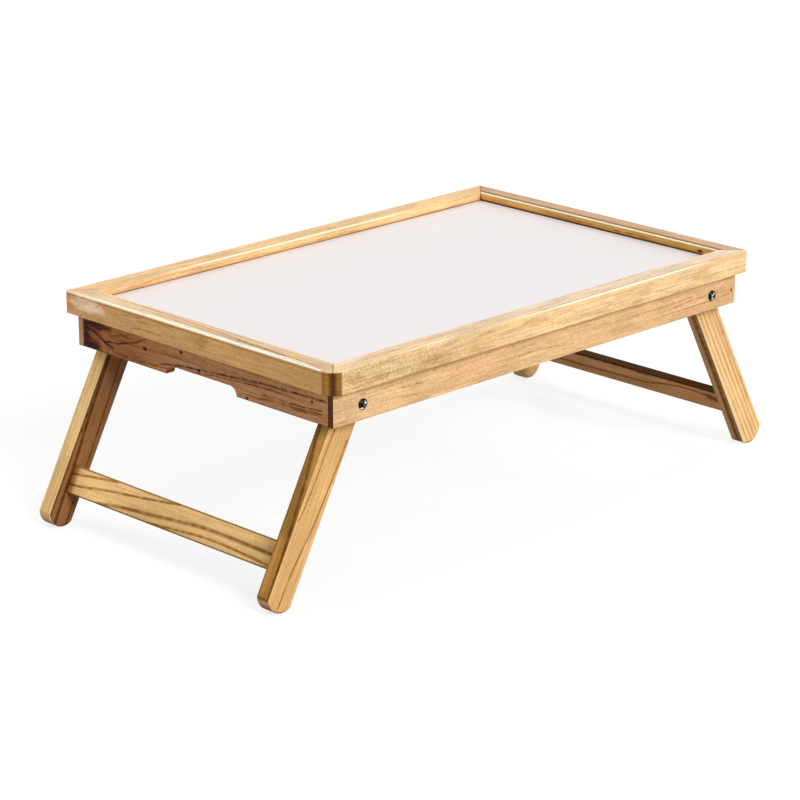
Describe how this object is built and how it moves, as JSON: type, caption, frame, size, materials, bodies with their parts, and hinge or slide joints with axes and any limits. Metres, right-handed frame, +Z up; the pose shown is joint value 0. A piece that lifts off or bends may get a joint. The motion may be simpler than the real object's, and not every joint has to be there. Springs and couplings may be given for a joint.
{
  "type": "bed tray table",
  "caption": "Rectangular wooden bed tray with a raised mitred rim, a white laminated floor, hand grips and two splayed leg frames that fold flat under it.",
  "frame": {"origin": "on the floor under the middle of the tray, legs open", "axes": "+X along the long side, +Y from front to back, +Z up"},
  "size_m": [0.603, 0.323, 0.1916],
  "materials": {
    "pine": "clear varnish, satin",
    "pine_legs": "clear varnish, satin",
    "white_laminate": "smooth melamine",
    "black_steel": "black oxide",
    "white_nylon": "plain",
    "zinc_steel": "zinc plated",
    "bright_steel": "bright",
    "beech_dowel": "raw"
  },
  "bodies": {
    "tray": {"rim_front": "pine", "rim_back": "pine", "rim_left": "pine", "rim_right": "pine", "tray_panel": "white_laminate", "rail_front": "pine", "rail_back": "pine", "rail_left": "pine", "rail_right": "pine", "pivot_bolts": "black_steel", "spacer_washers": "white_nylon", "nut_washers": "zinc_steel", "lock_nuts": "zinc_steel", "rim_dowels": "beech_dowel", "corner_brads": "bright_steel", "mitre_plates": "bright_steel"},
    "left_legs": {"leg_left_front": "pine_legs", "leg_left_back": "pine_legs", "stretcher_left": "pine"},
    "right_legs": {"leg_right_front": "pine_legs", "leg_right_back": "pine_legs", "stretcher_right": "pine"}
  },
  "joints": [
    {"name": "left_legs_fold", "type": "hinge", "parent": "tray", "child": "left_legs", "pos_m": [-0.21117, 0, 0.15671], "axis": [0, -1, 0], "range_deg": [0, 118]},
    {"name": "right_legs_fold", "type": "hinge", "parent": "tray", "child": "right_legs", "pos_m": [0.21117, 0, 0.15671], "axis": [0, 1, 0], "range_deg": [0, 118]}
  ]
}
